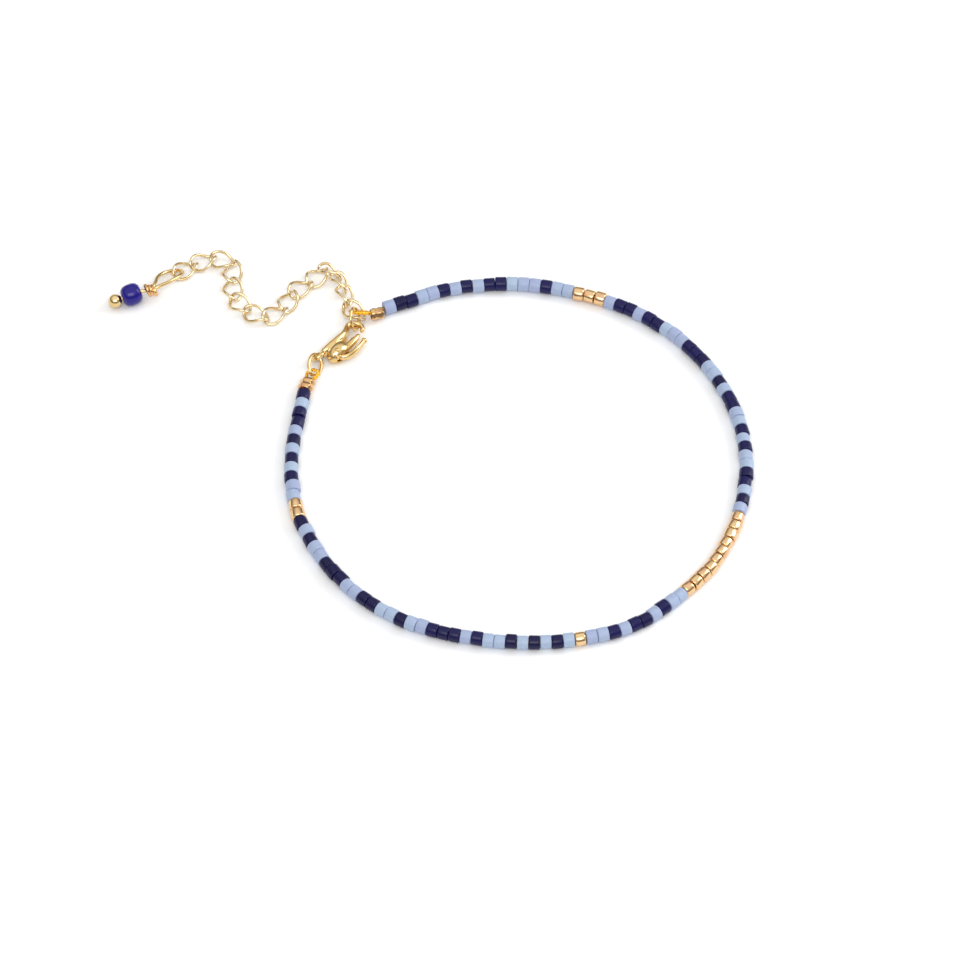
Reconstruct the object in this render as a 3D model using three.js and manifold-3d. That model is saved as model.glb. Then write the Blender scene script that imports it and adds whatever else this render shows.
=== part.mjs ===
// A bracelet of short round glass beads on a thread, laid on a surface and closed by a lobster clasp.
// Millimetres, +Z up, the surface at z = 0, the origin under the middle of the bracelet's box.

import * as THREE from "three";
import * as BufferGeometryUtils from "three/addons/utils/BufferGeometryUtils.js";
import Module from "manifold-3d";

const wasm = await Module();
wasm.setup();

// Beads and thread
const BEAD_COUNT = 115;
const BEAD_DIAMETER = 1.6;
const BEAD_LENGTH = 1.2;
const BEAD_HOLE = 0.8;
const BEAD_SIDES = 12;
const THREAD_DIAMETER = 0.45;
const THREAD_SIDES = 6;
const THREAD_STEP = 2.4;
const STRING_SIDES = 8;
const STRING_STEP = 3.6;
const STRING_HEIGHT = BEAD_DIAMETER / 2;

// Edges shorter than this are closed up after a join
const SLIVER = 0.004;

// How far the beads have slid along the thread, as one wave and as two waves round the bracelet
const SLIDE_ONCE = 0.6;
const SLIDE_TWICE = 0.33;

// Middle line of the string, from the face of the first bead to the face of the last: x, y
const STRING_ROUTE = [
  [-14.1, 7.5], [-15.4, -2.2], [-14.2, -11.4], [-9.1, -20.5], [-2.2, -25.9], [6.3, -28.5],
  [15.4, -28.7], [24.0, -26.1], [31.7, -18.9], [35.5, -10.8], [36.7, -1.7], [34.8, 7.0],
  [30.3, 14.6], [23.3, 20.3], [13.3, 23.7], [3.7, 23.5], [-5.1, 20.2],
];

// Gold beads by their number on the string: first, last
const GOLD_RUNS = [[13, 14], [45, 45], [56, 65], [96, 98]];

// Crimps, with the thread loop that leaves each one
const CRIMP_END_SHARE = 0.86;
const CRIMP_SIDES = 6;
const CRIMPS = [
  {
    side: "left", at: [-13.9, 8.5, 0.85], yaw: 72, length: 1.6, width: 1.9, thickness: 1.6, bore: 1.36,
    loop: { reach: 2.4, halfWidth: 0.65, yaw: 68, rise: 2, roll: -10 },
  },
  {
    side: "right", at: [-5.87, 19.38, 0.91], yaw: 192, length: 1.5, width: 1.7, thickness: 1.5, bore: 1.32,
    loop: { reach: 3.21, halfWidth: 0.6, yaw: 182, rise: 9, roll: 39 },
  },
];

// Rings: half length and half width of the wire's middle line
const RINGS = [
  {
    name: "jump_ring", halfLength: 1.45, halfWidth: 1.0, wire: 0.42,
    at: [-12.98, 11.42, 1.0], yaw: 76.5, tilt: -1, roll: 51,
  },
  {
    name: "end_ring", halfLength: 1.31, halfWidth: 1.31, wire: 0.38,
    at: [-8.44, 18.13, 1.43], yaw: 77, tilt: 7, roll: 71.7,
  },
];
const RING_SEGMENTS = 20;
const WIRE_SIDES = 6;

// Extender chain
const LINK_LENGTH = 3.6;
const LINK_WIDTH = 2.6;
const LINK_WIRE = 0.36;
const LINK_TWIST = -50;
const LINK_SEGMENTS = 16;

// Where the chain starts, at the head pin: x, y
const CHAIN_START = [-29.5, 25.9];

// Where each link hangs in the next, and how far it has rolled over: x, y, roll
const CHAIN = [
  [-27.7, 27.2, 0], [-25.4, 28.4, 0], [-23.0, 27.3, 0], [-23.1, 24.7, 10], [-22.8, 22.1, 0],
  [-21.2, 20.0, 0], [-18.9, 18.8, 0], [-16.8, 20.3, 0], [-16.0, 22.8, 0], [-13.9, 24.4, 0],
  [-12.2, 26.4, 0], [-10.7, 25.1, -40], [-9.9, 23.2, -40], [-9.5, 20.9, -40], [-7.8, 19.0, 5],
];

// Clasp, in its own frame: x from the eye to the nose, y to the claw's side, z up from its flat underside
const CLASP = { at: [-9.8, 14.9], yaw: 50, height: 1.0 };
const PIVOT = [-1.9, -0.75];
const PIN_DIAMETER = 0.4;
const PIN_CLEARANCE = 0.1;
const PIN_TOP = 2.05;
const UNDERCUT = 0.2;
const PALM = { at: [-1.35, -0.5, 0.8], size: [1.65, 1.12, 1.2] };
const LEVER_ROOT_DIAMETER = 1.1;
const LEVER_THICKNESS = 0.8;
const LEVER_GAP = 0.12;
const EYE = { at: [-3.45, 0.8], ring: 0.72, wire: 0.5, roll: 40 };
const KNOB_DIAMETER = 0.75;

// Claw from the palm round the nose to its tip: x, y, half width, half height
const CLAW = [
  [-2.9, 0.72, 0.4, 0.6], [-2.2, 0.5, 0.58, 0.9], [-1.2, 0.42, 0.66, 1.0], [-0.2, 0.42, 0.62, 1.0],
  [0.7, 0.52, 0.48, 0.9], [1.5, 0.86, 0.38, 0.72], [2.15, 1.1, 0.36, 0.6], [2.85, 0.88, 0.34, 0.5],
  [3.28, 0.3, 0.31, 0.34], [3.1, -0.35, 0.27, 0.3], [2.5, -0.68, 0.24, 0.28],
];

// Gate and thumb arm of the lever: x, y, half width, half height
const GATE = [
  [-1.9, -0.75, 0.42, 0.36], [-1.1, -0.8, 0.46, 0.38], [-0.2, -0.86, 0.5, 0.4], [0.9, -0.86, 0.44, 0.43],
  [1.6, -0.8, 0.32, 0.4], [2.1, -0.72, 0.21, 0.28],
];
const THUMB_ARM = [
  [-1.85, -0.9, 0.3, 0.36], [-1.75, -1.5, 0.32, 0.38], [-1.1, -1.95, 0.32, 0.46], [0.1, -2.02, 0.31, 0.5],
  [1.1, -1.88, 0.28, 0.42], [1.75, -1.75, 0.26, 0.32],
];

// Room in the palm and the claw in which the lever swings: from x, y to x, y
const LEVER_ROOM = [[-1.9, -2.6, 1.2, 0.1], [-2.45, -2.6, -1.5, -0.75]];
const CLAW_SIDES = 10;
const CLAW_STEPS = 24;
const LEVER_SIDES = 8;
const LEVER_STEPS = 10;

// Head pin: a ball, the pin through the glass bead, three wraps and a loop that bends down to the chain
const PIN_WIRE = 0.45;
const BALL_DIAMETER = 1.65;
const HEAD_PIN = { at: [-34.75, 21.95, 1.36], yaw: 20, drop: 10 };
const BALL_PLACE = -2.05;
const WRAP_PLACES = [2.1, 2.5, 2.9];
const WRAP_DIAMETER = 0.8;
const END_BEAD_DIAMETER = 2.6;
const END_BEAD_LENGTH = 2.35;
const END_BEAD_HOLE = 0.8;

// The bead's shape from its middle to its end: share of the half length, share of the radius
const END_BEAD_SHAPE = [[0.35, 1.0], [0.75, 0.86], [1.0, 0.55]];
const END_BEAD_SIDES = 14;
const END_BEAD_MOUTH = 0.92;

// Loop of the head pin, from the wraps to the first joint of the chain and back: x, y, z
const HEAD_LOOP = [
  [-32.3, 22.95, 1.75], [-31.4, 23.3, 1.75], [-30.3, 23.9, 1.6], [-29.3, 24.9, 1.25], [-28.95, 26.0, 0.75],
  [-29.7, 26.5, 0.45], [-30.8, 25.9, 0.6], [-31.5, 24.7, 1.1], [-31.75, 23.6, 1.6], [-32.2, 23.05, 1.95],
];

const gold = { color: 0xd9a95a, roughness: 0.25, metalness: 1 };
const paleGold = { color: 0xe0c48a, roughness: 0.28, metalness: 1 };
const copperGold = { color: 0xb9793a, roughness: 0.35, metalness: 1 };
const navyGlass = { color: 0x1d1b55, roughness: 0.3, metalness: 0 };
const cobaltGlass = { color: 0x24189a, roughness: 0.2, metalness: 0 };

const radians = THREE.MathUtils.degToRad;

function point(row, height) {
  return new THREE.Vector3(row[0], row[1], row.length > 2 ? row[2] : height);
}

function curveThrough(points) {
  return new THREE.CatmullRomCurve3(points, false, "catmullrom", 0.5);
}

// A closed mesh as a solid that can be joined and cut
function solid(geometry) {
  const bare = geometry.clone();
  bare.deleteAttribute("normal");
  bare.deleteAttribute("uv");
  const merged = BufferGeometryUtils.mergeVertices(bare, 1e-5);
  const mesh = new wasm.Mesh({
    numProp: 3,
    vertProperties: new Float32Array(merged.attributes.position.array),
    triVerts: new Uint32Array(merged.index.array),
  });
  return new wasm.Manifold(mesh);
}

// The joined solid as a geometry, without the slivers that joins leave
function geometryOf(body) {
  const mesh = body.asOriginal().simplify(SLIVER).getMesh();
  const geometry = new THREE.BufferGeometry();
  geometry.setAttribute("position", new THREE.BufferAttribute(new Float32Array(mesh.vertProperties), 3));
  geometry.setIndex(new THREE.BufferAttribute(new Uint32Array(mesh.triVerts), 1));
  geometry.computeVertexNormals();
  return geometry;
}

function join(geometries) {
  return geometries.map(solid).reduce((whole, next) => whole.add(next));
}

function polygon(radius, sides) {
  const corners = [];
  for (let i = 0; i < sides; i += 1) {
    const angle = (2 * Math.PI * i) / sides;
    corners.push(new THREE.Vector2(radius * Math.cos(angle), radius * Math.sin(angle)));
  }
  return new THREE.Shape(corners);
}

function rod(curve, diameter, sides, steps) {
  return new THREE.ExtrudeGeometry(polygon(diameter / 2, sides), { steps, extrudePath: curve });
}

// An oval wire loop, turned about its length from one end to the other by twice the twist
class Oval extends THREE.Curve {
  constructor(halfLength, halfWidth, twist) {
    super();
    this.halfLength = halfLength;
    this.halfWidth = halfWidth;
    this.twist = twist;
  }

  getPoint(t, target = new THREE.Vector3()) {
    const turn = 2 * Math.PI * t;
    const side = this.halfWidth * Math.sin(turn);
    const roll = this.twist * Math.cos(turn);
    return target.set(this.halfLength * Math.cos(turn), side * Math.cos(roll), side * Math.sin(roll));
  }
}

function wireOval(halfLength, halfWidth, twist, wire, segments) {
  const oval = new Oval(halfLength, halfWidth, twist);
  return new THREE.TubeGeometry(oval, segments, wire / 2, WIRE_SIDES, true);
}

function smoothCurve(pairs) {
  return new THREE.CatmullRomCurve3(pairs.map(([first, second]) => new THREE.Vector3(first, second, 0)));
}

// A flat-lying bar bent along a route, with an oval section whose half width and half height vary
function bentBar(rows, sides, steps) {
  const route = smoothCurve(rows);
  const girth = smoothCurve(rows.map(([, , width, height]) => [width, height]));
  const bar = new THREE.CylinderGeometry(1, 1, 1, sides, steps);
  const places = bar.attributes.position;
  for (let i = 0; i < places.count; i += 1) {
    const t = places.getY(i) + 0.5;
    const centre = route.getPoint(t);
    const along = route.getTangent(t);
    const size = girth.getPoint(t);
    const across = places.getX(i) * size.x;
    places.setXYZ(i, centre.x + along.y * across, centre.y - along.x * across, places.getZ(i) * size.y);
  }
  return bar;
}

// A ring turned about the x axis, from half its outline: along, radius
function turned(outline, sides) {
  const profile = [...outline, outline[0]].map(([along, radius]) => new THREE.Vector2(radius, along));
  return new THREE.LatheGeometry(profile, sides).rotateZ(-Math.PI / 2);
}

function piece(name, geometry, look) {
  const mesh = new THREE.Mesh(geometry, new THREE.MeshStandardMaterial(look));
  mesh.name = name;
  return mesh;
}

// Roll about the length, then tilt, then turn on the surface
function pose(mesh, at, yaw, tilt = 0, roll = 0) {
  mesh.position.set(...at);
  mesh.rotation.set(radians(roll), radians(tilt), radians(yaw), "ZYX");
  return mesh;
}

const bracelet = new THREE.Group();

// The string
const stringRoute = curveThrough(STRING_ROUTE.map((row) => point(row, STRING_HEIGHT)));
stringRoute.arcLengthDivisions = 800;
const stringLength = stringRoute.getLength();

// Distance along the string of the border after so many beads
function beadBorder(beads) {
  const turn = (2 * Math.PI * beads) / BEAD_COUNT;
  const slide = SLIDE_ONCE * Math.sin(turn) + SLIDE_TWICE * Math.sin(2 * turn);
  return (stringLength * beads) / BEAD_COUNT + slide;
}

function onString(distance) {
  return stringRoute.getPointAt(THREE.MathUtils.clamp(distance / stringLength, 0, 1));
}

// A stretch of blue beads, as thick as they are, from one bead's number to another's
function blueStretch(first, last) {
  const gap = (stringLength / BEAD_COUNT - BEAD_LENGTH) / 2;
  const start = beadBorder(first - 1) + gap;
  const end = beadBorder(last) - gap;
  const steps = Math.round((end - start) / STRING_STEP);
  const points = [];
  for (let i = 0; i <= 2 * steps; i += 1) {
    points.push(onString(start + ((end - start) * i) / (2 * steps)));
  }
  return rod(curveThrough(points), BEAD_DIAMETER, STRING_SIDES, steps);
}

function blueStretches() {
  const stretches = [];
  let first = 1;
  for (const [firstGold, lastGold] of GOLD_RUNS) {
    stretches.push(blueStretch(first, firstGold - 1));
    first = lastGold + 1;
  }
  stretches.push(blueStretch(first, BEAD_COUNT));
  return stretches;
}

// Two strands out of the crimp that meet round the loop's far end
function threadLoop({ at, loop }) {
  const half = [[-0.3, 0.14], [0.75, 0.18], [loop.reach * 0.5, loop.halfWidth * 0.8],
    [loop.reach * 0.75, loop.halfWidth], [loop.reach * 0.95, loop.halfWidth * 0.6]];
  const back = half.map(([x, y]) => [x, -y]).reverse();
  const rows = [...half, [loop.reach, 0], ...back];
  const strand = rod(curveThrough(rows.map((row) => point(row, 0))), THREAD_DIAMETER, THREAD_SIDES, 24);
  const turn = new THREE.Euler(radians(loop.roll), radians(-loop.rise), radians(loop.yaw), "ZYX");
  strand.applyQuaternion(new THREE.Quaternion().setFromEuler(turn));
  return strand.translate(...at);
}

function threadRoute() {
  const [left, right] = CRIMPS;
  const inside = STRING_ROUTE.map((row) => point(row, STRING_HEIGHT));
  return curveThrough([point(left.at), ...inside, point(right.at)]);
}

const threadSteps = Math.round(stringLength / THREAD_STEP);
const thread = rod(threadRoute(), THREAD_DIAMETER, THREAD_SIDES, threadSteps);
const beadString = join([thread, ...CRIMPS.map(threadLoop), ...blueStretches()]);
bracelet.add(piece("bead_string", geometryOf(beadString), navyGlass));

function goldBead(number, order) {
  const middle = (beadBorder(number - 1) + beadBorder(number)) / 2;
  const place = onString(middle);
  const along = stringRoute.getTangentAt(middle / stringLength);
  const half = BEAD_LENGTH / 2;
  const drum = turned([[-half, BEAD_HOLE / 2], [-half, BEAD_DIAMETER / 2], [half, BEAD_DIAMETER / 2],
    [half, BEAD_HOLE / 2]], BEAD_SIDES);
  const name = `gold_bead_${String(order).padStart(2, "0")}`;
  const yaw = THREE.MathUtils.radToDeg(Math.atan2(along.y, along.x));
  return pose(piece(name, drum, gold), place.toArray(), yaw);
}

let goldCount = 0;
for (const [first, last] of GOLD_RUNS) {
  for (let number = first; number <= last; number += 1) {
    goldCount += 1;
    bracelet.add(goldBead(number, goldCount));
  }
}

// Crimps: short barrels pressed flatter than they are wide
for (const { side, at, yaw, length, width, thickness, bore } of CRIMPS) {
  const half = length / 2;
  const end = (width / 2) * CRIMP_END_SHARE;
  const barrel = turned([[-half, bore / 2], [-half, end], [0, width / 2], [half, end], [half, bore / 2]],
    CRIMP_SIDES);
  barrel.scale(1, 1, thickness / width);
  bracelet.add(pose(piece(`crimp_${side}`, barrel, copperGold), at, yaw));
}

// Rings and chain
for (const ring of RINGS) {
  const wire = wireOval(ring.halfLength, ring.halfWidth, 0, ring.wire, RING_SEGMENTS);
  bracelet.add(pose(piece(ring.name, wire, gold), ring.at, ring.yaw, ring.tilt, ring.roll));
}

const linkSize = [(LINK_LENGTH - LINK_WIRE) / 2, (LINK_WIDTH - LINK_WIRE) / 2];
const linkWire = wireOval(...linkSize, radians(LINK_TWIST), LINK_WIRE, LINK_SEGMENTS);
let [fromX, fromY] = CHAIN_START;
CHAIN.forEach(([toX, toY, roll], i) => {
  const name = `chain_link_${String(i + 1).padStart(2, "0")}`;
  const yaw = THREE.MathUtils.radToDeg(Math.atan2(toY - fromY, toX - fromX));
  const middle = [(fromX + toX) / 2, (fromY + toY) / 2, 0];
  const link = pose(piece(name, linkWire.clone(), paleGold), middle, yaw, 0, roll);
  link.position.z = -new THREE.Box3().setFromObject(link, true).min.z;
  bracelet.add(link);
  [fromX, fromY] = [toX, toY];
});

// Clasp
const clasp = pose(new THREE.Group(), [...CLASP.at, 0], CLASP.yaw);
bracelet.add(clasp);

// An upright drum round the pivot, from one height to another
function upright(diameter, sides, bottom, top) {
  const drum = new THREE.CylinderGeometry(diameter / 2, diameter / 2, top - bottom, sides);
  return drum.rotateX(Math.PI / 2).translate(...PIVOT, (top + bottom) / 2);
}

function claspBody() {
  const reach = LEVER_THICKNESS / 2 + LEVER_GAP;
  const round = upright(LEVER_ROOT_DIAMETER + 2 * LEVER_GAP, 24, CLASP.height - reach, CLASP.height + reach);
  const mouths = LEVER_ROOM.map(([fromX, fromY, toX, toY]) => {
    const mouth = new THREE.BoxGeometry(toX - fromX, toY - fromY, 2 * reach);
    return mouth.translate((fromX + toX) / 2, (fromY + toY) / 2, CLASP.height);
  });
  const palm = new THREE.SphereGeometry(1, 24, 14).rotateX(Math.PI / 2);
  palm.scale(...PALM.size).translate(...PALM.at);
  const claw = bentBar(CLAW, CLAW_SIDES, CLAW_STEPS).translate(0, 0, CLASP.height);
  const eye = new THREE.TorusGeometry(EYE.ring, EYE.wire / 2, 8, 16);
  eye.rotateX(Math.PI / 2 + radians(EYE.roll)).translate(...EYE.at, CLASP.height);
  const pin = upright(PIN_DIAMETER, 12, -UNDERCUT, PIN_TOP);
  const below = new THREE.BoxGeometry(12, 8, 1).translate(0, 0, -0.5);
  const hollow = join([palm, claw]).subtract(join([round, ...mouths]));
  return hollow.add(join([eye, pin])).subtract(solid(below));
}

function claspLever() {
  const [knobX, knobY] = THUMB_ARM.at(-1);
  const knob = new THREE.SphereGeometry(KNOB_DIAMETER / 2, 10, 6).translate(knobX, knobY, 0);
  const bars = [GATE, THUMB_ARM].map((rows) => bentBar(rows, LEVER_SIDES, LEVER_STEPS));
  const half = LEVER_THICKNESS / 2;
  const root = upright(LEVER_ROOT_DIAMETER, 20, CLASP.height - half, CLASP.height + half);
  const hole = upright(PIN_DIAMETER + 2 * PIN_CLEARANCE, 12, 0, 2 * CLASP.height);
  const arms = join([...bars, knob].map((part) => part.translate(0, 0, CLASP.height)));
  return arms.add(solid(root)).subtract(solid(hole));
}

clasp.add(piece("clasp_body", geometryOf(claspBody()), gold));
clasp.add(piece("clasp_lever", geometryOf(claspLever()), gold));

// Head pin and its bead
const dangle = pose(new THREE.Group(), HEAD_PIN.at, HEAD_PIN.yaw, -HEAD_PIN.drop);
bracelet.add(dangle);
dangle.updateMatrixWorld();

function headPin() {
  const ball = new THREE.SphereGeometry(BALL_DIAMETER / 2, 14, 9).translate(BALL_PLACE, 0, 0);
  const length = WRAP_PLACES.at(-1) - BALL_PLACE;
  const pin = new THREE.CylinderGeometry(PIN_WIRE / 2, PIN_WIRE / 2, length, 8);
  pin.rotateZ(Math.PI / 2).translate(BALL_PLACE + length / 2, 0, 0);
  const wraps = WRAP_PLACES.map((place) => {
    const wrap = new THREE.TorusGeometry(WRAP_DIAMETER / 2, PIN_WIRE / 2, 6, 12);
    return wrap.rotateY(Math.PI / 2).translate(place, 0, 0);
  });
  const loop = rod(curveThrough(HEAD_LOOP.map((row) => point(row))), PIN_WIRE, WIRE_SIDES, 26);
  loop.applyMatrix4(dangle.matrixWorld.clone().invert());
  return join([ball, pin, ...wraps, loop]);
}

function endBead() {
  const half = END_BEAD_LENGTH / 2;
  const outside = END_BEAD_SHAPE.map(([along, out]) => [along * half, (out * END_BEAD_DIAMETER) / 2]);
  const right = [...outside, [END_BEAD_MOUTH * half, END_BEAD_HOLE / 2]];
  const left = right.map(([along, out]) => [-along, out]).reverse();
  return turned([...left, ...right], END_BEAD_SIDES);
}

dangle.add(piece("head_pin", geometryOf(headPin()), gold));
dangle.add(piece("end_bead", endBead(), cobaltGlass));

export default bracelet;
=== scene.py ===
# A bracelet of short round glass beads on a thread, laid on a pale surface and closed by a lobster
# clasp, with an extender chain and a bead drop. Tables are in millimetres, in the part's own frame.

import math
import random

import bmesh
import bpy
from mathutils import Matrix, Vector


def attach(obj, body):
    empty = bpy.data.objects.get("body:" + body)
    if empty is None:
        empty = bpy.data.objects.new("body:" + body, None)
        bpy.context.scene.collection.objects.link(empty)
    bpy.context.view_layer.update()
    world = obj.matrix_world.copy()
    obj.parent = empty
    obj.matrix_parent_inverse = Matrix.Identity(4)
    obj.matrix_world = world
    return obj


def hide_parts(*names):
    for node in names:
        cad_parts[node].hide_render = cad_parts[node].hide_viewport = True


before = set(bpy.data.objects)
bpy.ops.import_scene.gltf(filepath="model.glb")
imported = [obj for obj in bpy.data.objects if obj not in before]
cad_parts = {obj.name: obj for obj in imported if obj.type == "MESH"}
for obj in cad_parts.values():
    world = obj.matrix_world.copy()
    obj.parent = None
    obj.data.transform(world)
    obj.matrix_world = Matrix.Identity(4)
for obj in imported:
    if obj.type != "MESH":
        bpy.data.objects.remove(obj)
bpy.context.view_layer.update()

MM = 0.001

# Beads, and the height of their thread over the surface
BEAD_DIAMETER = 1.62
BEAD_HOLE = 0.8
HOLE_EDGE = 0.07
BEAD_SIDES = 32
BEAD_HEIGHT = 0.8

# Beads by kind, n navy, p pale blue, g gold: rounding of the rims, gap to the next bead, lean in degrees
BEAD_EDGE = {"n": 0.16, "p": 0.16, "g": 0.22}
BEAD_GAP = {"n": 0.02, "p": 0.02, "g": 0.07}
BEAD_LEAN = {"n": 2, "p": 2, "g": 5}

# How much the beads differ: shares of the diameter and of the rounding, shift across the string, lift,
# and share of the deeper tone
SIZE_RANGE = (0.95, 1.04)
EDGE_RANGE = (0.85, 1.2)
BEAD_SHIFT = 0.08
BEAD_LIFT = 0.05
TONE_RANGE = (0, 0.65)

# The beads sit a little looser in places: one wide gap, and borders that slide along the string in two waves
WIDE_GAP = 0.12
WIDE_GAP_BEFORE = 4
SLIDE_ONCE = 0.6
SLIDE_TWICE = 0.33

# Middle line of the string, from the face of the first bead to the face of the last: x, y
STRING_ROUTE = [
    (-14.1, 7.5), (-15.4, -2.2), (-14.2, -11.4), (-9.1, -20.5), (-2.2, -25.9), (6.3, -28.5),
    (15.4, -28.7), (24.0, -26.1), (31.7, -18.9), (35.5, -10.8), (36.7, -1.7), (34.8, 7.0),
    (30.3, 14.6), (23.3, 20.3), (13.3, 23.7), (3.7, 23.5), (-5.1, 20.2),
]

# The beads in their order from the left crimp: n navy, p pale blue, g gold
BEAD_ORDER = (
    "npnnpnpnpnppgg"
    "npnppnnnppnnppnppnnnpnppnpnpnpg"
    "ppnpnnpnppgggggggggg"
    "pnpnnppnpnppnnpnppnnnpppnnpnnpggg"
    "ppnpppnnpnpnppnnp"
)

# Thread; a ply's size and its distance from the middle are shares of the thread's diameter
THREAD_DIAMETER = 0.42
THREAD_PLIES = 3
THREAD_PITCH = 1.3
PLY_DIAMETER = 0.52
PLY_OFFSET = 0.24

# A wire's last three rings at an end that is rounded off, as shares of its diameter
ROUND_ENDS = (0.35, 0.7, 0.92)

# Crimps with the thread loop that leaves each one
CRIMPS = {
    "left": dict(at=(-13.9, 8.5, 0.85), yaw=72, length=1.6, width=1.9, thickness=1.6, bore=1.36,
                 reach=2.4, half_width=0.65, loop_yaw=68, rise=2, roll=-10),
    "right": dict(at=(-5.87, 19.38, 0.91), yaw=192, length=1.5, width=1.7, thickness=1.5, bore=1.32,
                  reach=3.21, half_width=0.6, loop_yaw=182, rise=9, roll=39),
}
CRIMP_SIDES = 6
CRIMP_FLATNESS = 0.8

# The crimp's shape from end to end, dented where the pliers bit: share of the half length, of the radius
CRIMP_SHAPE = [(-1.0, 0.86), (-0.45, 1.0), (0.05, 0.84), (0.5, 0.97), (1.0, 0.84)]
CRIMP_ROUNDING = (0.03, 0.08, 0.1, 0.12, 0.1, 0.08, 0.03)

# One side of a thread loop: two places near the crimp, then shares of its reach and of its half width
LOOP_ROOT = [(-0.3, 0.14), (0.75, 0.18)]
LOOP_SIDE = [(0.5, 0.8), (0.75, 1.0), (0.95, 0.6)]

# Rings: half length and half width of the wire's middle line, wire, place, turn, tilt, roll
RINGS = {
    "jump_ring": (1.45, 1.0, 0.42, (-12.98, 11.42, 1.0), 76.5, -1, 51),
    "end_ring": (1.31, 1.31, 0.38, (-8.44, 18.13, 1.43), 77, 7, 71.7),
}

# Extender chain: each link's far end on the surface, and how far it has rolled over: x, y, roll
LINK_LENGTH = 3.6
LINK_WIDTH = 2.6
LINK_WIRE = 0.36
LINK_TWIST = -50
CHAIN_START = (-29.5, 25.9)
CHAIN = [
    (-27.7, 27.2, 0), (-25.4, 28.4, 0), (-23.0, 27.3, 0), (-23.1, 24.7, 10), (-22.8, 22.1, 0),
    (-21.2, 20.0, 0), (-18.9, 18.8, 0), (-16.8, 20.3, 0), (-16.0, 22.8, 0), (-13.9, 24.4, 0),
    (-12.2, 26.4, 0), (-10.7, 25.1, -40), (-9.9, 23.2, -40), (-9.5, 20.9, -40), (-7.8, 19.0, 5),
]

# Clasp, in its own frame: x from the eye to the nose, y to the claw's side, z up from its underside
CLASP_AT = (-9.8, 14.9, 0)
CLASP_YAW = 50
CLASP_HEIGHT = 1.0
CLASP_UNDERSIDE = 0.01
PIVOT = (-1.9, -0.75)
PIN_DIAMETER = 0.4
PIN_BOTTOM = 0.02
PIN_TOP = 2.05
PIN_EDGE = 0.05
PALM_AT = (-1.35, -0.5, 0.8)
PALM_SIZE = (1.65, 1.12, 1.2)
LEVER_THICKNESS = 0.8
LEVER_GAP = 0.12
LEVER_ROOT_DIAMETER = 1.1
LEVER_ROOT_EDGE = 0.08
EYE_AT = (-3.45, 0.8)
EYE_RING = 0.72
EYE_WIRE = 0.5
EYE_ROLL = 40
KNOB_DIAMETER = 0.75

# Room for the lever in the clasp's body, from corner to corner: x, y, x, y
LEVER_ROOM = [(-1.9, -2.6, 1.2, 0.1), (-2.45, -2.6, -1.5, -0.75)]

# Bars of the clasp: x, y, half width, half height
CLAW = [
    (-2.9, 0.72, 0.4, 0.6), (-2.2, 0.5, 0.58, 0.9), (-1.2, 0.42, 0.66, 1.0), (-0.2, 0.42, 0.62, 1.0),
    (0.7, 0.52, 0.48, 0.9), (1.5, 0.86, 0.38, 0.72), (2.15, 1.1, 0.36, 0.6), (2.85, 0.88, 0.34, 0.5),
    (3.28, 0.3, 0.31, 0.34), (3.1, -0.35, 0.27, 0.3), (2.5, -0.68, 0.24, 0.28),
]
GATE = [
    (-1.9, -0.75, 0.42, 0.36), (-1.1, -0.8, 0.46, 0.38), (-0.2, -0.86, 0.5, 0.4), (0.9, -0.86, 0.44, 0.43),
    (1.6, -0.8, 0.32, 0.4), (2.1, -0.72, 0.21, 0.28),
]
THUMB_ARM = [
    (-1.85, -0.9, 0.3, 0.36), (-1.75, -1.5, 0.32, 0.38), (-1.1, -1.95, 0.32, 0.46), (0.1, -2.02, 0.31, 0.5),
    (1.1, -1.88, 0.28, 0.42), (1.75, -1.75, 0.26, 0.32),
]

# Shares of the claw's and the gate's length that are rounded at the nose, and of the size at the very tip
CLAW_ROUND_END = 0.05
GATE_ROUND_END = 0.08
BAR_TIP = 0.12

# The cast skin's grain, and rounds of smoothing where the bars join and over the whole
CAST_GRAIN = 0.045
JOIN_SMOOTHING = 9
SKIN_SMOOTHING = 3

# Head pin: a ball, the pin through the glass bead, three uneven wraps and a loop that bends to the chain
PIN_WIRE = 0.45
BALL_DIAMETER = 1.65
BALL_PLACE = -2.05
DROP_AT = (-34.75, 21.95, 1.36)
DROP_YAW = 20
DROP_TILT = -10
WRAP_PLACES = (1.92, 3.05)
WRAP_TURNS = 3
WRAP_DIAMETER = 1.12
WRAP_SWELL = 0.14
SWELLS_PER_TURN = 1.7
HEAD_LOOP = [
    (-32.3, 22.62, 1.42), (-31.4, 23.1, 1.6), (-30.3, 23.8, 1.55), (-29.3, 24.9, 1.25),
    (-28.95, 26.0, 0.75), (-29.7, 26.5, 0.45), (-30.95, 26.05, 0.65), (-31.75, 25.0, 1.1),
    (-32.0, 23.8, 1.45), (-32.3, 22.75, 1.6),
]

# The pin sags past the bead: from how far along, and how far its end has sunk in x, y and z
SAG_FROM = 1.0
SAG = (0, -0.36, -0.42)

# Glass bead on the pin; its side from the middle to the end: share of the half length, of the radius
END_BEAD_DIAMETER = 2.6
END_BEAD_LENGTH = 2.35
END_BEAD_HOLE = 0.8
END_BEAD_SIDE = [(0.35, 1.0), (0.75, 0.86), (1.0, 0.55)]
END_BEAD_FACE = 0.92
END_BEAD_ROUNDING = (0.05, 0.14, 0.2, 0.3, 0.3, 0.2, 0.14, 0.05)

# Surface, from its middle to its edge
FLOOR_REACH = 4000

# Softboxes: direction from the bracelet, distance, width and height, watts
SOFTBOXES = {
    "front softbox": ((-0.05, -0.6, 0.8), 700, (500, 260), 1.6),
    "right softbox": ((0.85, 0.3, 0.5), 600, (260, 400), 1.5),
}

# Strength of the room's light from overhead and from the sides
LIGHT_OVERHEAD = 1.05
LIGHT_SIDES = 0.22

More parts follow.
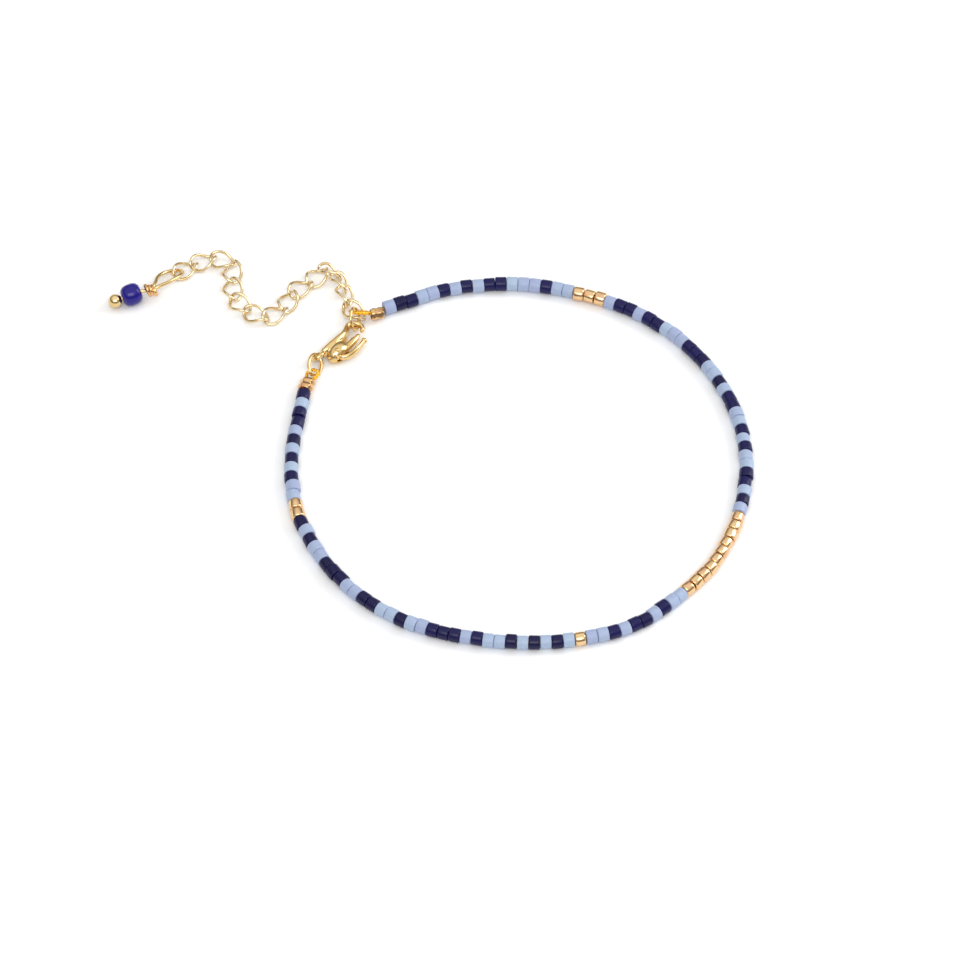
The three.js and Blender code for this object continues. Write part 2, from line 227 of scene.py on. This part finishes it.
# Camera: looks down at the bracelet from the front
CAMERA_TARGET = (6.2, -5.4, 0.8)
CAMERA_DISTANCE = 600
CAMERA_ELEVATION = 51
CAMERA_LENS = 196.875
SENSOR_WIDTH = 36

rng = random.Random(7)


def smooth_point(points, t, evening):
    """A place on a smooth curve through the points, t from 0 to 1. Evening 0.5 keeps uneven steps tight."""
    place = t * (len(points) - 1)
    i = min(int(place), len(points) - 2)
    w = place - i
    b, c = points[i], points[i + 1]
    a = points[i - 1] if i > 0 else 2 * b - c
    d = points[i + 2] if i + 2 < len(points) else 2 * c - b
    ab, bc, cd = (max((q - p).length, 0.01) ** evening for p, q in ((a, b), (b, c), (c, d)))
    start = ((b - a) / ab - (c - a) / (ab + bc) + (c - b) / bc) * bc
    end = ((c - b) / bc - (d - b) / (bc + cd) + (d - c) / cd) * bc
    return b + start * w + (3 * (c - b) - 2 * start - end) * w**2 + (2 * (b - c) + start + end) * w**3


def smooth_line(points, steps):
    return [smooth_point(points, i / steps, 0) for i in range(steps + 1)]


class Route:
    """A smooth curve that is walked by distance."""

    def __init__(self, points):
        self.places = smooth_line(points, 1600)
        self.walked = [0.0]
        for p, q in zip(self.places, self.places[1:]):
            self.walked.append(self.walked[-1] + (q - p).length)
        self.length = self.walked[-1]

    def at(self, distance):
        distance = min(max(distance, 0.0), self.length)
        low, high = 0, len(self.walked) - 1
        while high - low > 1:
            middle = (low + high) // 2
            low, high = (middle, high) if self.walked[middle] <= distance else (low, middle)
        share = (distance - self.walked[low]) / (self.walked[high] - self.walked[low])
        return self.places[low].lerp(self.places[high], share)

    def along(self, distance):
        return (self.at(distance + 0.05) - self.at(distance - 0.05)).normalized()


def pose(at, yaw=0.0, tilt=0.0, roll=0.0):
    """Roll about the length, then tilt, then turn on the surface."""
    turn = Matrix.Translation(at)
    for angle, axis in ((yaw, "Z"), (tilt, "Y"), (roll, "X")):
        turn = turn @ Matrix.Rotation(math.radians(angle), 4, axis)
    return turn


def moved(shape, matrix):
    vertices, faces = shape
    return [matrix @ v for v in vertices], faces


def angles_round(sides):
    return [2 * math.pi * k / sides for k in range(sides)]


def sweep(rings, closed):
    """Skin over rings of the same number of points; open ends are closed with a flat face."""
    sides = len(rings[0])
    vertices = [v for ring in rings for v in ring]
    faces = []
    for i in range(len(rings) if closed else len(rings) - 1):
        j = (i + 1) % len(rings)
        for k in range(sides):
            m = (k + 1) % sides
            faces.append((i * sides + k, i * sides + m, j * sides + m, j * sides + k))
    if not closed:
        faces.append(tuple(reversed(range(sides))))
        faces.append(tuple(range((len(rings) - 1) * sides, len(rings) * sides)))
    return vertices, faces


def turned(outline, sides, closed=True):
    """A form turned about the x axis from its outline: along, radius."""
    angles = angles_round(sides)
    rings = []
    for along, radius in outline:
        rings.append([Vector((along, radius * math.cos(a), radius * math.sin(a))) for a in angles])
    return sweep(rings, closed)


def rounded_corner(corner, before, after, radius, steps=4):
    """Points round a corner of an outline, on the curve that touches both of its sides."""
    corner, before, after = (Vector((*p, 0)) for p in (corner, before, after))
    start = corner + (before - corner).normalized() * radius
    end = corner + (after - corner).normalized() * radius
    points = []
    for i in range(steps + 1):
        w = i / steps
        point = start * (1 - w) ** 2 + corner * 2 * w * (1 - w) + end * w**2
        points.append((point.x, point.y))
    return points


def rounded_outline(corners, radii):
    """An outline with every corner rounded by its own radius."""
    points = []
    for i, (corner, radius) in enumerate(zip(corners, radii)):
        points += rounded_corner(corner, corners[i - 1], corners[(i + 1) % len(corners)], radius)
    return points


def carried_frames(points, closed):
    """Two directions across the line at every point, carried along it without spinning."""
    count = len(points)
    tangents = []
    for i in range(count):
        before = points[i - 1] if closed or i > 0 else points[0]
        after = points[(i + 1) % count] if closed or i < count - 1 else points[-1]
        tangents.append((after - before).normalized())
    side = tangents[0].orthogonal().normalized()
    sides = [side]
    for before, after in zip(tangents, tangents[1:]):
        side = before.rotation_difference(after) @ side
        sides.append((side - after * side.dot(after)).normalized())
    if closed:
        back = tangents[-1].rotation_difference(tangents[0]) @ sides[-1]
        spin = math.atan2(back.dot(tangents[0].cross(sides[0])), back.dot(sides[0]))
        for i, tangent in enumerate(tangents):
            sides[i] = Matrix.Rotation(-spin * i / count, 3, tangent) @ sides[i]
    return [(s, t.cross(s)) for s, t in zip(sides, tangents)]


def wire(points, diameter, sides, closed=False, round_ends=False):
    """Round wire along a line of points."""
    frames, angles = carried_frames(points, closed), angles_round(sides)
    sizes = [1.0] * len(points)
    if round_ends:
        for i, size in enumerate(ROUND_ENDS):
            sizes[i] = sizes[-1 - i] = size
    rings = []
    for point, (side, up), size in zip(points, frames, sizes):
        radius = diameter / 2 * size
        rings.append([point + (side * math.cos(a) + up * math.sin(a)) * radius for a in angles])
    return sweep(rings, closed)


def plied(points, diameter, plies, pitch):
    """Thread laid from plies that twist round each other along a line of points."""
    frames = carried_frames(points, False)
    walked, strands = [0.0], []
    for p, q in zip(points, points[1:]):
        walked.append(walked[-1] + (q - p).length)
    for ply in range(plies):
        strand = []
        for point, (side, up), distance in zip(points, frames, walked):
            a = 2 * math.pi * (distance / pitch + ply / plies)
            strand.append(point + (side * math.cos(a) + up * math.sin(a)) * diameter * PLY_OFFSET)
        strands.append(wire(strand, diameter * PLY_DIAMETER, 10, round_ends=True))
    return strands


def oval(half_length, half_width, twist, count):
    """A wire loop's middle line, turned about its length from one end to the other by twice the twist."""
    points = []
    for i in range(count):
        turn = 2 * math.pi * i / count
        side = half_width * math.sin(turn)
        roll = math.radians(twist) * math.cos(turn)
        points.append(Vector((half_length * math.cos(turn), side * math.cos(roll), side * math.sin(roll))))
    return points


def bent_bar(rows, sides, steps, round_end=0.0):
    """A flat-lying bar bent along a route, with an oval section that grows and shrinks."""
    route = [Vector((x, y, 0)) for x, y, _, _ in rows]
    girth = [Vector((w, h, 0)) for _, _, w, h in rows]
    angles = angles_round(sides)
    rings = []
    for i in range(steps + 1):
        t = i / steps
        centre, size = smooth_point(route, t, 0.5), smooth_point(girth, t, 0.5)
        nearby = [smooth_point(route, min(max(t + d, 0), 1), 0.5) for d in (-0.004, 0.004)]
        along = (nearby[1] - nearby[0]).normalized()
        left = (1 - t) / round_end if round_end else 1.0
        shrink = math.sqrt(1 - (1 - left) ** 2) if left < 1 else 1.0
        across = Vector((along.y, -along.x, 0)) * size.x * max(shrink, BAR_TIP)
        up = Vector((0, 0, size.y * max(shrink, BAR_TIP)))
        rings.append([centre + across * math.cos(a) + up * math.sin(a) for a in angles])
    return sweep(rings, False)


def ball(centre, radius, sides=32):
    steps = sides // 2
    outline = []
    for i in range(1, steps):
        a = math.pi * i / steps
        outline.append((-radius * math.cos(a), radius * math.sin(a)))
    return moved(turned(outline, sides, closed=False), Matrix.Translation(centre))


def upright(diameter, bottom, top, edge=0.0, sides=40):
    """A drum that stands on the clasp's pivot, with softened rims."""
    radius = diameter / 2
    outline = [(bottom, radius - edge), (bottom + edge, radius), (top - edge, radius), (top, radius - edge)]
    if not edge:
        outline = [(bottom, radius), (top, radius)]
    drum = turned(outline, sides, closed=False)
    return moved(drum, Matrix.Translation((*PIVOT, 0)) @ Matrix.Rotation(-math.pi / 2, 4, "Y"))


def block(low, high):
    """A box from its lowest corner to its highest."""
    xs, ys, zs = zip(low, high)
    corners = [Vector((x, y, z)) for z in zs for y in ys for x in xs]
    faces = [(0, 2, 3, 1), (4, 5, 7, 6), (0, 1, 5, 4), (2, 6, 7, 3), (0, 4, 6, 2), (1, 3, 7, 5)]
    return corners, faces


def mesh_of(name, shapes):
    """The shapes in one mesh, in millimetres, with every face turned outwards."""
    vertices, faces = [], []
    for some_vertices, some_faces in shapes:
        start = len(vertices)
        vertices += [tuple(v) for v in some_vertices]
        faces += [tuple(start + i for i in face) for face in some_faces]
    mesh = bpy.data.meshes.new(name)
    mesh.from_pydata(vertices, [], faces)
    return outward(mesh)


def outward(mesh):
    work = bmesh.new()
    work.from_mesh(mesh)
    bmesh.ops.recalc_face_normals(work, faces=work.faces)
    work.to_mesh(mesh)
    work.free()
    return mesh


def in_scene(name, data):
    """A new object in the scene."""
    thing = bpy.data.objects.new(name, data)
    bpy.context.scene.collection.objects.link(thing)
    return thing


def applied(mesh, *steps):
    """The mesh after some modifiers: kind and settings of each."""
    thing = in_scene(mesh.name, mesh)
    for kind, settings in steps:
        modifier = thing.modifiers.new(kind.lower(), kind)
        for key, value in settings.items():
            setattr(modifier, key, value)
    bpy.context.view_layer.update()
    result = bpy.data.meshes.new_from_object(thing.evaluated_get(bpy.context.evaluated_depsgraph_get()))
    bpy.data.objects.remove(thing)
    return result


def cut_away(mesh, *tools):
    """The mesh without the room that the tools take."""
    for shape in tools:
        cutter = in_scene("cutter", mesh_of("cutter", [shape]))
        mesh = applied(mesh, ("BOOLEAN", dict(object=cutter, operation="DIFFERENCE", solver="EXACT")))
        bpy.data.objects.remove(cutter)
    return mesh


def cast(mesh, rounds):
    """The joined forms as one skin whose inner corners flow into each other, as in a casting."""
    smooth = dict(factor=0.5, iterations=rounds)
    return applied(mesh, ("REMESH", dict(mode="VOXEL", voxel_size=CAST_GRAIN)), ("SMOOTH", smooth))


def piece(name, mesh, material, body, nodes):
    """A finished piece: scaled to metres, painted, and standing for its nodes of the part."""
    mesh.transform(Matrix.Scale(MM, 4))
    mesh.name = name
    mesh.materials.clear()
    mesh.materials.append(material)
    mesh.shade_smooth()
    thing = in_scene(name, mesh)
    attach(thing, body)
    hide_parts(*nodes)


# Finishes


def colour(code):
    """An sRGB hex colour as linear RGBA."""
    parts = [int(code[i : i + 2], 16) / 255 for i in (1, 3, 5)]
    linear = [c / 12.92 if c <= 0.04045 else ((c + 0.055) / 1.055) ** 2.4 for c in parts]
    return (*linear, 1.0)


def add_node(tree, kind, links=None, **settings):
    made = tree.nodes.new("ShaderNode" + kind)
    for key, value in settings.items():
        setattr(made, key, value)
    for socket, value in (links or {}).items():
        if isinstance(value, bpy.types.NodeSocket):
            tree.links.new(value, made.inputs[socket])
        else:
            made.inputs[socket].default_value = value
    return made


def new_finish(name):
    finish = bpy.data.materials.new(name)
    finish.use_nodes = True
    tree = finish.node_tree
    shader = tree.nodes["Principled BSDF"]
    return finish, tree, shader


def per_metre(millimetres):
    """Noise scale for a pattern of that size."""
    return 1 / (millimetres * MM)


def noise(tree, millimetres, detail=2.0):
    where = add_node(tree, "TexCoord").outputs["Object"]
    links = {"Vector": where, "Scale": per_metre(millimetres), "Detail": detail}
    return add_node(tree, "TexNoise", links).outputs["Fac"]


def ranged(tree, value, low, high, start=0.3, end=0.7):
    """A value spread from low to high; most of a noise lies between the usual start and end."""
    links = {"Value": value, "From Min": start, "From Max": end, "To Min": low, "To Max": high}
    return add_node(tree, "MapRange", links).outputs["Result"]


def blended(tree, share, first, second):
    mix = add_node(tree, "Mix", {0: share, 6: first, 7: second}, data_type="RGBA")
    return mix.outputs[2]


def bumped(tree, shader, height, depth, strength):
    links = {"Height": height, "Distance": depth * MM, "Strength": strength}
    tree.links.new(add_node(tree, "Bump", links).outputs["Normal"], shader.inputs["Normal"])


def bead_glass(name, plain, deep, roughness, gloss, sheen):
    """Pressed opaque glass: one colour that differs a little from bead to bead, with a soft gloss."""
    finish, tree, shader = new_finish(name)
    tone = add_node(tree, "Attribute", attribute_name="tone").outputs["Fac"]
    clouds = ranged(tree, noise(tree, 0.5), 0.0, 0.35)
    share = add_node(tree, "Math", {0: tone, 1: clouds}, operation="ADD").outputs["Value"]
    tree.links.new(blended(tree, share, colour(plain), colour(deep)), shader.inputs["Base Color"])
    fine = noise(tree, 0.12, 3.0)
    tree.links.new(ranged(tree, fine, roughness * 0.85, roughness * 1.2), shader.inputs["Roughness"])
    shader.inputs["IOR"].default_value = 1.5
    shader.inputs["Specular IOR Level"].default_value = gloss
    shader.inputs["Coat Weight"].default_value = sheen
    shader.inputs["Coat Roughness"].default_value = 0.12
    bumped(tree, shader, fine, 0.02, 0.25)
    return finish


def plated_brass(name, bright, shade, roughness, grit=0.25, depth=0.006):
    """Gold plate over brass: a clear metal colour, a trace deeper in patches, polished but not flawless."""
    finish, tree, shader = new_finish(name)
    patches = ranged(tree, noise(tree, 0.9, 3.0), 0.0, 1.0)
    tree.links.new(blended(tree, patches, colour(bright), colour(shade)), shader.inputs["Base Color"])
    shader.inputs["Metallic"].default_value = 1.0
    fine = noise(tree, grit, 3.0)
    tree.links.new(ranged(tree, fine, roughness * 0.75, roughness * 1.3), shader.inputs["Roughness"])
    bumped(tree, shader, fine, depth, 0.5)
    return finish


# Navy is so deep that only its soft gloss shows the round side; pale blue is milky and nearly matt, with
# a drift to lilac; cobalt is the smoothest and keeps one clear window of light
navy_glass = bead_glass("navy opaque glass", "#110e50", "#080534", 0.33, 0.24, 0.1)
pale_glass = bead_glass("pale blue opaque glass", "#a6bad0", "#9aa4c8", 0.42, 0.4, 0.1)
cobalt_glass = bead_glass("cobalt opaque glass", "#19087e", "#100558", 0.24, 0.3, 0.2)

# The beads' plating is warm, with rosy patches; the chain's is the palest, close to champagne; the rings
# are plain bright gold
bead_gold = plated_brass("gold plated bead brass", "#f1cf98", "#e0b28a", 0.16)
chain_gold = plated_brass("pale gold plated chain wire", "#f1dfb6", "#e6ca9c", 0.17)
ring_gold = plated_brass("gold plated ring wire", "#efd39c", "#e0bf83", 0.17)

# The casting's broader ripples break up its reflections; crimps and wraps turn to copper in patches; the
# thread is a saturated yellow, dull beside the metal
clasp_gold = plated_brass("gold plated cast clasp", "#efd298", "#dfba7a", 0.18, 0.4, 0.012)
copper_gold = plated_brass("reddish gold plated crimp", "#eec48a", "#d2a070", 0.17, 0.3, 0.015)
thread_gold = plated_brass("yellow gilt thread", "#ffd04a", "#efb02c", 0.3, 0.1)


# The string of beads

string_points = [Vector((x, y, BEAD_HEIGHT)) for x, y in STRING_ROUTE]
string = Route(string_points)
bead_count = len(BEAD_ORDER)


def bead_border(beads):
    """Distance along the string of the border after so many beads."""
    turn = 2 * math.pi * beads / bead_count
    slide = SLIDE_ONCE * math.sin(turn) + SLIDE_TWICE * math.sin(2 * turn)
    return string.length * beads / bead_count + slide


def drilled_drum(length, diameter, edge):
    half, outer, inner = length / 2, diameter / 2, BEAD_HOLE / 2
    corners = [(-half, inner), (-half, outer), (half, outer), (half, inner)]
    return turned(rounded_outline(corners, (HOLE_EDGE, edge, edge, HOLE_EDGE)), BEAD_SIDES)


def placed_bead(number, kind):
    """One bead on the string, a little unlike its neighbours in size, rounding, place and lean."""
    start, end = bead_border(number - 1), bead_border(number)
    if number == WIDE_GAP_BEFORE - 1:
        end -= WIDE_GAP
    middle = (start + end) / 2
    size = BEAD_DIAMETER * rng.uniform(*SIZE_RANGE)
    drum = drilled_drum(end - start - BEAD_GAP[kind], size, BEAD_EDGE[kind] * rng.uniform(*EDGE_RANGE))
    along = string.along(middle)
    lean = BEAD_LEAN[kind]
    yaw = math.degrees(math.atan2(along.y, along.x)) + rng.uniform(-lean, lean)
    across = Vector((-along.y, along.x, 0)) * rng.uniform(-BEAD_SHIFT, BEAD_SHIFT)
    at = string.at(middle) + across
    at.z = size / 2 + rng.uniform(0, BEAD_LIFT)
    return moved(drum, pose(at, yaw, rng.uniform(-lean, lean) / 2, rng.uniform(0, 360)))


def string_of(kind, name, finish, nodes):
    """All beads of one kind in one mesh, each with its own tone."""
    shapes, tones = [], []
    for number, letter in enumerate(BEAD_ORDER, 1):
        shape, tone = placed_bead(number, letter), rng.uniform(*TONE_RANGE)
        if letter == kind:
            shapes.append(shape)
            tones += [tone] * len(shape[0])
    mesh = mesh_of(name, shapes)
    mesh.attributes.new("tone", "FLOAT", "POINT").data.foreach_set("value", tones)
    piece(name, mesh, finish, "bracelet", nodes)


string_of("n", "navy_beads", navy_glass, ["bead_string"])
string_of("p", "pale_beads", pale_glass, ["bead_string"])
gold_nodes = [f"gold_bead_{i:02d}" for i in range(1, BEAD_ORDER.count("g") + 1)]
string_of("g", "gold_beads", bead_gold, gold_nodes)


# Thread, crimps and rings


def loop_line(crimp):
    """The thread from inside the crimp round the ring and back."""
    reach, half_width = crimp["reach"], crimp["half_width"]
    half = LOOP_ROOT + [(x * reach, y * half_width) for x, y in LOOP_SIDE]
    rows = half + [(reach, 0)] + [(x, -y) for x, y in reversed(half)]
    turn = pose(crimp["at"], crimp["loop_yaw"], -crimp["rise"], crimp["roll"])
    return smooth_line([turn @ Vector((x, y, 0)) for x, y in rows], 90)


def thread_line():
    """The thread from one crimp through all the beads to the other."""
    ends = [Vector(crimp["at"]) for crimp in CRIMPS.values()]
    return smooth_line([ends[0], *string_points, ends[1]], 240)


strands = [wire(thread_line(), THREAD_DIAMETER, 10)]
for crimp in CRIMPS.values():
    strands += plied(loop_line(crimp), THREAD_DIAMETER, THREAD_PLIES, THREAD_PITCH)
piece("thread", mesh_of("thread", strands), thread_gold, "bracelet", ["bead_string"])


def pressed_crimp(crimp):
    """A barrel pressed flatter than it is wide, with flat facets where the pliers bit."""
    half, wide, bore = crimp["length"] / 2, crimp["width"] / 2, crimp["bore"] / 2
    side = [(x * half, out * wide) for x, out in CRIMP_SHAPE]
    corners = [(-half, bore), *side, (half, bore)]
    points, faces = turned(rounded_outline(corners, CRIMP_ROUNDING), 8 * CRIMP_SIDES)
    facet = math.pi / CRIMP_SIDES
    for point in points:
        off_middle = math.atan2(point.z, point.y) % (2 * facet) - facet
        flat = math.cos(facet) / math.cos(off_middle) - 1
        point.yz = point.yz * (1 + CRIMP_FLATNESS * flat)
    barrel = points, faces
    return moved(barrel, Matrix.Diagonal((1, 1, crimp["thickness"] / crimp["width"], 1)))


for side, crimp in CRIMPS.items():
    shape = moved(pressed_crimp(crimp), pose(crimp["at"], crimp["yaw"]))
    name = f"crimp_{side}"
    piece(f"pressed_{name}", mesh_of(name, [shape]), copper_gold, "bracelet", [name])

for name, (half_length, half_width, gauge, at, yaw, tilt, roll) in RINGS.items():
    shape = wire(oval(half_length, half_width, 0, 72), gauge, 16, closed=True)
    mesh = mesh_of(name, [moved(shape, pose(at, yaw, tilt, roll))])
    piece(f"{name}_wire", mesh, ring_gold, "bracelet", [name])


# Extender chain


def chain_shapes():
    """The links end to end, each on the surface with its lowest point."""
    line = oval((LINK_LENGTH - LINK_WIRE) / 2, (LINK_WIDTH - LINK_WIRE) / 2, LINK_TWIST, 64)
    link = wire(line, LINK_WIRE, 14, closed=True)
    shapes, (from_x, from_y) = [], CHAIN_START
    for to_x, to_y, roll in CHAIN:
        yaw = math.degrees(math.atan2(to_y - from_y, to_x - from_x))
        shape = moved(link, pose(((from_x + to_x) / 2, (from_y + to_y) / 2, 0), yaw, 0, roll))
        shapes.append(moved(shape, Matrix.Translation((0, 0, -min(v.z for v in shape[0])))))
        from_x, from_y = to_x, to_y
    return shapes


chain_nodes = [f"chain_link_{i:02d}" for i in range(1, len(CHAIN) + 1)]
piece("chain", mesh_of("chain", chain_shapes()), chain_gold, "bracelet", chain_nodes)


# Clasp

clasp_place = pose(CLASP_AT, CLASP_YAW)
raised = Matrix.Translation((0, 0, CLASP_HEIGHT))


def clasp_body():
    """Palm and claw in one casting, hollow where the lever turns, with the eye and the pivot pin."""
    reach = LEVER_THICKNESS / 2 + LEVER_GAP
    low, high = CLASP_HEIGHT - reach, CLASP_HEIGHT + reach
    rooms = [block((x, y, low), (to_x, to_y, high)) for x, y, to_x, to_y in LEVER_ROOM]
    rooms.append(upright(LEVER_ROOT_DIAMETER + 2 * LEVER_GAP, low, high))
    below = block((-8, -8, -1), (8, 8, 0))
    palm = moved(ball((0, 0, 0), 1, 48), Matrix.Translation(PALM_AT) @ Matrix.Diagonal((*PALM_SIZE, 1)))
    claw = moved(bent_bar(CLAW, 28, 96, CLAW_ROUND_END), raised)
    joined = cut_away(cast(mesh_of("joined", [palm, claw]), JOIN_SMOOTHING), *rooms, below)
    hollow = [v.co.copy() for v in joined.vertices], [tuple(p.vertices) for p in joined.polygons]
    eye = wire(oval(EYE_RING, EYE_RING, 0, 48), EYE_WIRE, 16, closed=True)
    eye = moved(eye, pose((*EYE_AT, CLASP_HEIGHT), 0, 0, 90 + EYE_ROLL))
    pin = upright(PIN_DIAMETER, PIN_BOTTOM, PIN_TOP, PIN_EDGE)
    skin = cast(mesh_of("clasp", [eye, pin, hollow]), SKIN_SMOOTHING)
    for vertex in skin.vertices:
        vertex.co.z = max(vertex.co.z, CLASP_UNDERSIDE)
    skin.transform(clasp_place)
    return skin


def clasp_lever():
    """Gate, thumb arm and knob in one casting round the pivot."""
    knob = ball((*THUMB_ARM[-1][:2], 0), KNOB_DIAMETER / 2, 24)
    bars = [bent_bar(GATE, 24, 60, GATE_ROUND_END), bent_bar(THUMB_ARM, 24, 60), knob]
    half = LEVER_THICKNESS / 2
    root = upright(LEVER_ROOT_DIAMETER, CLASP_HEIGHT - half, CLASP_HEIGHT + half, LEVER_ROOT_EDGE)
    skin = cast(mesh_of("lever", [moved(bar, raised) for bar in bars] + [root]), SKIN_SMOOTHING)
    skin.transform(clasp_place)
    return skin


piece("cast_clasp_body", clasp_body(), clasp_gold, "bracelet", ["clasp_body"])
piece("cast_clasp_lever", clasp_lever(), clasp_gold, "lever", ["clasp_lever"])


# Head pin and its bead

drop_place = pose(DROP_AT, DROP_YAW, DROP_TILT)


def on_pin(along, y=0, z=0):
    """A place beside the pin's middle line, on its sagging end too."""
    share = max(0, along - SAG_FROM) / (WRAP_PLACES[1] - SAG_FROM)
    return drop_place @ Vector((along, y, z)) + share * Vector(SAG)


def head_pin():
    """The ball, the pin and its loop in one mesh, and the wraps in another."""
    first, last = WRAP_PLACES
    steps = 24 * WRAP_TURNS
    coil = []
    for i in range(steps + 1):
        a = 2 * math.pi * i / 24
        along = first + (last - first) * i / steps
        radius = WRAP_DIAMETER / 2 * (1 + WRAP_SWELL * math.sin(SWELLS_PER_TURN * a))
        coil.append(on_pin(along, radius * math.cos(a), radius * math.sin(a)))
    straight = [on_pin(BALL_PLACE + (last - BALL_PLACE) * i / 24) for i in range(25)]
    loop = smooth_line([Vector(p) for p in HEAD_LOOP], 80)
    pin = [wire(straight, PIN_WIRE, 16), wire(loop, PIN_WIRE, 14, round_ends=True)]
    pin.append(ball(drop_place @ Vector((BALL_PLACE, 0, 0)), BALL_DIAMETER / 2))
    return mesh_of("head_pin", pin), mesh_of("wraps", [wire(coil, PIN_WIRE, 14, round_ends=True)])


def end_bead():
    half, radius = END_BEAD_LENGTH / 2, END_BEAD_DIAMETER / 2
    right = [(x * half, r * radius) for x, r in END_BEAD_SIDE]
    right.append((END_BEAD_FACE * half, END_BEAD_HOLE / 2))
    corners = [(-x, r) for x, r in reversed(right)] + right
    return moved(turned(rounded_outline(corners, END_BEAD_ROUNDING), 48), drop_place)


pin_mesh, wraps_mesh = head_pin()
piece("head_pin_wire", pin_mesh, ring_gold, "bracelet", ["head_pin"])
piece("head_pin_wraps", wraps_mesh, copper_gold, "bracelet", ["head_pin"])
drop_mesh = mesh_of("drop", [end_bead()])
drop_mesh.attributes.new("tone", "FLOAT", "POINT")
piece("drop_bead", drop_mesh, cobalt_glass, "bracelet", ["end_bead"])


# Surface, light and camera


def pale_floor():
    """A sheet of matt card that runs past every edge of the picture."""
    finish, tree, shader = new_finish("matt white card")
    shader.inputs["Base Color"].default_value = colour("#fcfcfc")
    shader.inputs["Roughness"].default_value = 0.9
    shader.inputs["Specular IOR Level"].default_value = 0.1
    mesh = bpy.data.meshes.new("floor")
    far = FLOOR_REACH * MM
    mesh.from_pydata([(-far, -far, 0), (far, -far, 0), (far, far, 0), (-far, far, 0)], [], [(0, 1, 2, 3)])
    mesh.materials.append(finish)
    in_scene("floor", mesh)


def softbox(name, direction, distance, size, power):
    """A soft white light that faces the bracelet from a direction."""
    data = bpy.data.lights.new(name, "AREA")
    data.shape = "RECTANGLE"
    data.size, data.size_y = (side * MM for side in size)
    data.energy = power
    lamp = in_scene(name, data)
    away = Vector(direction).normalized()
    lamp.location = away * distance * MM
    lamp.rotation_euler = away.to_track_quat("Z", "Y").to_euler()


def room_light(overhead, sides):
    """A white tent that is bright overhead and at the table's edge, and dim between them."""
    world = bpy.data.worlds.new("room")
    world.use_nodes = True
    tree = world.node_tree
    direction = add_node(tree, "TexCoord").outputs["Generated"]
    height = add_node(tree, "SeparateXYZ", {"Vector": direction}).outputs["Z"]
    roof = ranged(tree, height, sides, overhead, 0.35, 0.8)
    rim = ranged(tree, height, overhead, sides, 0.06, 0.14)
    strength = add_node(tree, "Math", {0: roof, 1: rim}, operation="MAXIMUM").outputs["Value"]
    tree.nodes["Background"].inputs["Color"].default_value = colour("#ffffff")
    tree.links.new(strength, tree.nodes["Background"].inputs["Strength"])
    bpy.context.scene.world = world


def set_camera():
    data = bpy.data.cameras.new("camera")
    data.sensor_fit = "HORIZONTAL"
    data.sensor_width = SENSOR_WIDTH
    data.lens = CAMERA_LENS
    data.clip_start, data.clip_end = 0.01, 20
    camera = in_scene("camera", data)
    rise = math.radians(CAMERA_ELEVATION)
    back = Vector((0, -math.cos(rise), math.sin(rise)))
    camera.location = (Vector(CAMERA_TARGET) + back * CAMERA_DISTANCE) * MM
    camera.rotation_euler = back.to_track_quat("Z", "Y").to_euler()
    bpy.context.scene.camera = camera


pale_floor()
room_light(LIGHT_OVERHEAD, LIGHT_SIDES)
for name, box in SOFTBOXES.items():
    softbox(name, *box)
set_camera()
bpy.context.scene.view_settings.view_transform = "Standard"
